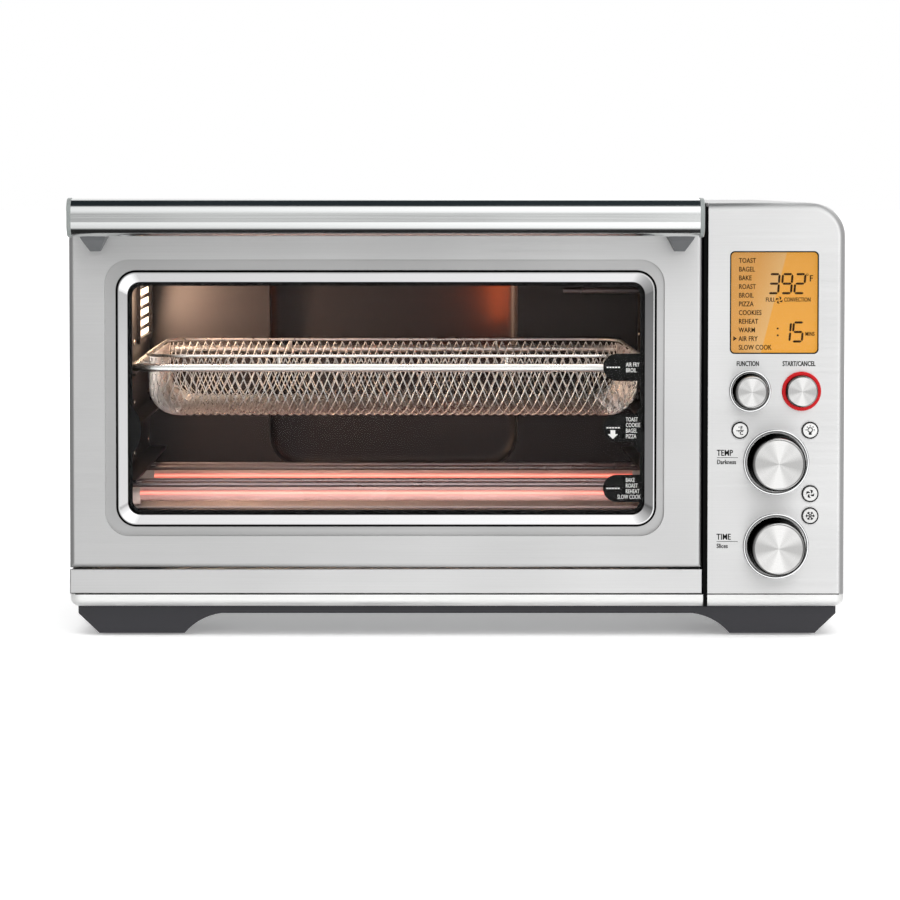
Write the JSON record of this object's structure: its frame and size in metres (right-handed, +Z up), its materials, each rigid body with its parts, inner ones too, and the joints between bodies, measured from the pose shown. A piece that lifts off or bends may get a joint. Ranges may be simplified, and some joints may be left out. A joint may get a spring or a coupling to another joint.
{
  "type": "toaster oven",
  "caption": "Countertop toaster oven with a drop-down glass door, air-fry basket, crumb tray, display, turning knobs and push buttons on a brushed metal case.",
  "frame": {"origin": "on the surface it stands on, under the centre of the whole box", "axes": "+X to the right as seen from the front, -Y out of the door, +Z up"},
  "size_m": [0.48, 0.4, 0.272],
  "materials": {
    "brushed_shell": "brushed, horizontal grain",
    "polished_trim": "polished",
    "handle_steel": "satin polished",
    "cap_grey": "satin grey",
    "dark_plastic": "fine grained",
    "foot_rubber": "matte",
    "plain_steel": "mill finish",
    "liner_steel": "satin aluminised",
    "window_pane": "clear",
    "display_glass": "clear",
    "display_amber": "backlit",
    "board_green": "solder mask",
    "carrier_plastic": "moulded",
    "knob_metal": "spun",
    "ring_chrome": "polished",
    "ring_red": "gloss",
    "button_grey": "satin",
    "quartz_glow": "translucent",
    "ceramic_white": "unglazed",
    "insulation_wool": "matted fibre",
    "motor_steel": "laminated",
    "fan_aluminium": "plain",
    "spring_steel": "drawn wire",
    "screw_steel": "zinc plated",
    "lamp_glass": "warm",
    "tray_aluminium": "plain",
    "wire_chrome": "polished wire"
  },
  "bodies": {
    "chassis": {"base_moulding": "dark_plastic", "foot_pads": "foot_rubber", "base_trim": "polished_trim", "base_plate": "plain_steel", "outer_case": "brushed_shell", "rear_panel": "plain_steel", "cord_gland": "dark_plastic", "rear_spacers": "dark_plastic", "case_screws": "screw_steel", "gap_strip": "dark_plastic", "front_frame": "liner_steel", "bay_divider": "plain_steel", "cavity_liner": "liner_steel", "cavity_back": "liner_steel", "rack_rails": "liner_steel", "fan_cover": "liner_steel", "lamp_lens": "lamp_glass", "oven_lamp": "lamp_glass", "heating_elements": "quartz_glow", "element_holders": "ceramic_white", "element_guards": "wire_chrome", "element_reflectors": "liner_steel", "temperature_probe": "wire_chrome", "insulation": "insulation_wool", "fan_motor": "motor_steel", "power_board": "board_green", "control_panel": "brushed_shell", "lcd_window": "display_glass", "lcd_module": "display_amber", "panel_carrier": "carrier_plastic", "control_board": "board_green", "rotary_encoders": "carrier_plastic", "button_switches": "carrier_plastic", "knob_rings": "ring_chrome", "start_ring": "ring_red", "hinge_arms": "plain_steel", "hinge_pins": "screw_steel", "hinge_springs": "spring_steel"},
    "door": {"door_skin": "brushed_shell", "window_bezel": "polished_trim", "door_glass": "window_pane", "door_inner_frame": "liner_steel", "inner_glass": "window_pane", "handle_bar": "handle_steel", "handle_caps": "cap_grey", "handle_brackets": "dark_plastic", "handle_screws": "screw_steel"},
    "function_knob_body": {"function_knob": "knob_metal"},
    "temperature_knob_body": {"temperature_knob": "knob_metal"},
    "time_knob_body": {"time_knob": "knob_metal"},
    "start_button_body": {"start_button": "knob_metal"},
    "unit_button_body": {"unit_button": "button_grey"},
    "light_button_body": {"light_button": "button_grey"},
    "fan_button_body": {"fan_button": "button_grey"},
    "frozen_button_body": {"frozen_button": "button_grey"},
    "fan": {"fan_rotor": "fan_aluminium"},
    "basket": {"basket_mesh": "wire_chrome", "basket_frame": "wire_chrome"},
    "tray": {"crumb_tray": "tray_aluminium", "crumb_tray_front": "brushed_shell"}
  },
  "joints": [
    {"name": "door_hinge", "type": "hinge", "parent": "chassis", "child": "door", "pos_m": [0, -0.152, 0.0527], "axis": [1, 0, 0], "range_deg": [0, 90], "stiffness_Nm_per_rad": 1.2, "springref_deg": -17.19},
    {"name": "basket_slide", "type": "slide", "parent": "chassis", "child": "basket", "axis": [0, -1, 0], "range_m": [0, 0.141]},
    {"name": "crumb_tray_slide", "type": "slide", "parent": "chassis", "child": "tray", "axis": [0, -1, 0], "range_m": [0, 0.17]},
    {"name": "function_knob_turn", "type": "hinge", "parent": "chassis", "child": "function_knob_body", "pos_m": [0.181, -0.16, 0.1524], "axis": [0, 1, 0], "continuous": true},
    {"name": "temperature_knob_turn", "type": "hinge", "parent": "chassis", "child": "temperature_knob_body", "pos_m": [0.1973, -0.16, 0.1084], "axis": [0, 1, 0], "continuous": true},
    {"name": "time_knob_turn", "type": "hinge", "parent": "chassis", "child": "time_knob_body", "pos_m": [0.1973, -0.16, 0.0563], "axis": [0, 1, 0], "continuous": true},
    {"name": "start_button_press", "type": "slide", "parent": "chassis", "child": "start_button_body", "axis": [0, 1, 0], "range_m": [0, 0.0015], "stiffness_N_per_m": 400, "springref_m": -0.001},
    {"name": "unit_button_press", "type": "slide", "parent": "chassis", "child": "unit_button_body", "axis": [0, 1, 0], "range_m": [0, 0.001], "stiffness_N_per_m": 300, "springref_m": -0.001},
    {"name": "light_button_press", "type": "slide", "parent": "chassis", "child": "light_button_body", "axis": [0, 1, 0], "range_m": [0, 0.001], "stiffness_N_per_m": 300, "springref_m": -0.001},
    {"name": "fan_button_press", "type": "slide", "parent": "chassis", "child": "fan_button_body", "axis": [0, 1, 0], "range_m": [0, 0.001], "stiffness_N_per_m": 300, "springref_m": -0.001},
    {"name": "frozen_button_press", "type": "slide", "parent": "chassis", "child": "frozen_button_body", "axis": [0, 1, 0], "range_m": [0, 0.001], "stiffness_N_per_m": 300, "springref_m": -0.001},
    {"name": "fan_spin", "type": "hinge", "parent": "chassis", "child": "fan", "pos_m": [0.14, -0.004, 0.113], "axis": [1, 0, 0], "continuous": true}
  ],
  "couplings": [
    {"joint": "basket_slide", "follows": "door_hinge", "m_per_rad": 0.0891}
  ]
}
